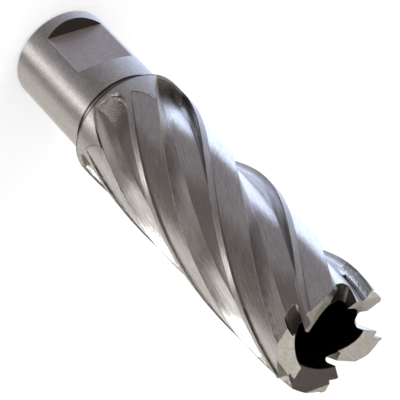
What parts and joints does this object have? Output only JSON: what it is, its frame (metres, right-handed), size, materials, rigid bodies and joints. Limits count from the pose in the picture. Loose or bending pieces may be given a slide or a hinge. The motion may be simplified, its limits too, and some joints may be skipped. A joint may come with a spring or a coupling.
{
  "type": "annular cutter",
  "caption": "Hollow hole-cutting tool with a round shank, ground drive flats, right-hand helical flutes and ground teeth around an open core.",
  "frame": {"origin": "centre of the shank's end face, on the tool's axis", "axes": "+Z along the axis towards the teeth, -Y square out of the first drive flat, -X square out of the second"},
  "size_m": [0.0222, 0.0222, 0.0886],
  "materials": {
    "tool_steel": "bright, fine ground and brushed"
  },
  "bodies": {
    "root": {"annular_cutter": "tool_steel"}
  },
  "joints": []
}
